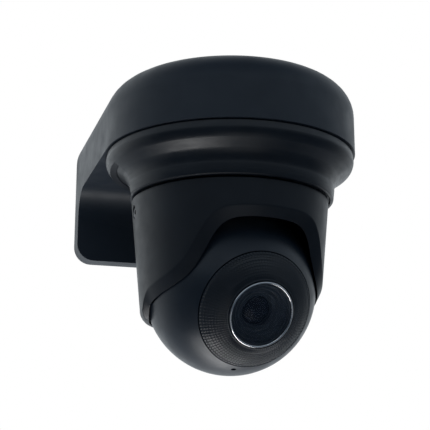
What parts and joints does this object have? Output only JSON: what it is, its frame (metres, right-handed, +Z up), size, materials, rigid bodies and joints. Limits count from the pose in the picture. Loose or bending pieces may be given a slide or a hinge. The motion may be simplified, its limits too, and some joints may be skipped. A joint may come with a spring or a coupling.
{
  "type": "ptz camera",
  "caption": "Ball-type pan, tilt and zoom security camera that hangs under an L-shaped wall bracket, with a ribbed infrared faceplate and a bright ring round the lens.",
  "frame": {"origin": "centre of the wall plate's four screw holes, on the wall face of the plate", "axes": "+Z up, +Y into the wall, -Y out of the wall towards the viewer, +X to the right of someone who faces the wall"},
  "size_m": [0.1226, 0.1503, 0.1405],
  "materials": {
    "bracket_black": "satin",
    "shell_black": "satin",
    "cast_alloy": "satin",
    "rubber": "matte",
    "steel": "satin",
    "motor_can": "satin",
    "gear_brass": "satin",
    "gear_plastic": "satin",
    "circuit_board": "satin",
    "chip": "matte",
    "led": "gloss",
    "ir_window": "gloss",
    "chrome_trim": "polished",
    "window_glass": "polished",
    "lens_black": "satin",
    "lens_glass": "polished",
    "filter_glass": "polished"
  },
  "bodies": {
    "bracket": {"wall_bracket": "bracket_black", "cable_grommet": "rubber", "base_gasket": "rubber", "base_housing": "bracket_black", "base_screws": "steel", "trim_ring": "shell_black", "side_entry_cover": "shell_black", "base_lid": "cast_alloy", "cable_gland": "rubber", "main_board": "circuit_board", "board_chips": "chip", "pan_motor": "motor_can", "pan_bearing_outer": "steel", "pan_bearing_balls": "steel", "pan_shaft_seal": "rubber"},
    "pan_drive": {"pan_pinion": "gear_brass"},
    "pan_head": {"pan_shell": "shell_black", "pan_frame": "cast_alloy", "pan_bearing_inner": "steel", "pan_gear": "gear_plastic", "pan_lock_nut": "steel", "yoke_arm_left": "cast_alloy", "yoke_arm_right": "cast_alloy", "yoke_screws": "steel", "side_screws": "steel", "tilt_fixed_gear": "gear_plastic", "tilt_pivot_pin": "steel"},
    "ball": {"ball_shell": "shell_black", "ball_rear_cap": "shell_black", "ball_seal": "rubber", "ball_screws": "steel", "bush_left": "gear_brass", "bush_right": "gear_brass", "faceplate": "ir_window", "ir_led_board": "circuit_board", "ir_leds": "led", "chrome_ring": "chrome_trim", "front_window": "window_glass", "lens_shroud": "lens_black", "lens_barrel": "lens_black", "front_lens": "lens_glass", "lens_carrier": "cast_alloy", "microphone": "rubber", "tilt_motor": "motor_can", "zoom_motor": "motor_can", "focus_motor": "motor_can", "sensor_board": "circuit_board", "image_sensor": "chip"},
    "tilt_drive": {"tilt_pinion": "gear_brass"},
    "zoom_cell": {"zoom_group": "lens_black", "zoom_lens": "lens_glass"},
    "zoom_drive": {"zoom_screw": "steel"},
    "focus_cell": {"focus_group": "lens_black", "focus_lens": "lens_glass"},
    "focus_drive": {"focus_screw": "steel"},
    "filter": {"ir_cut_filter": "filter_glass"}
  },
  "joints": [
    {"name": "pan", "type": "hinge", "parent": "bracket", "child": "pan_head", "pos_m": [0, -0.089, -0.02], "axis": [0, 0, 1], "range_deg": [-173, 157]},
    {"name": "pan_pinion_spin", "type": "hinge", "parent": "bracket", "child": "pan_drive", "pos_m": [-0.0159, -0.11654, -0.012], "axis": [0, 0, 1], "range_deg": [-745, 820]},
    {"name": "tilt", "type": "hinge", "parent": "pan_head", "child": "ball", "pos_m": [0, -0.089, -0.0654], "axis": [0.9903, 0.1392, 0], "range_deg": [-27.6, 62.4]},
    {"name": "tilt_pinion_spin", "type": "hinge", "parent": "ball", "child": "tilt_drive", "pos_m": [-0.03203, -0.08957, -0.05298], "axis": [0.9903, 0.1392, 0], "range_deg": [-63, 141]},
    {"name": "zoom", "type": "slide", "parent": "ball", "child": "zoom_cell", "axis": [0.1233, -0.8776, -0.4633], "range_m": [0, 0.006]},
    {"name": "zoom_screw_spin", "type": "hinge", "parent": "ball", "child": "zoom_drive", "pos_m": [0.01943, -0.09074, -0.06772], "axis": [0.1233, -0.8776, -0.4633], "range_deg": [-5, 1085]},
    {"name": "focus", "type": "slide", "parent": "ball", "child": "focus_cell", "axis": [0.1233, -0.8776, -0.4633], "range_m": [-0.002, 0.002]},
    {"name": "focus_screw_spin", "type": "hinge", "parent": "ball", "child": "focus_drive", "pos_m": [-0.00123, -0.08028, -0.08224], "axis": [0.1233, -0.8776, -0.4633], "range_deg": [-365, 365]},
    {"name": "ir_cut", "type": "slide", "parent": "ball", "child": "filter", "axis": [0.9903, 0.1392, 0], "range_m": [0, 0.008]}
  ],
  "couplings": [
    {"joint": "pan_pinion_spin", "follows": "pan", "ratio": -4.7273},
    {"joint": "tilt_pinion_spin", "follows": "tilt", "ratio": 2.25},
    {"joint": "zoom_screw_spin", "follows": "zoom", "rad_per_m": 3141.6},
    {"joint": "focus_screw_spin", "follows": "focus", "rad_per_m": 3141.6}
  ]
}
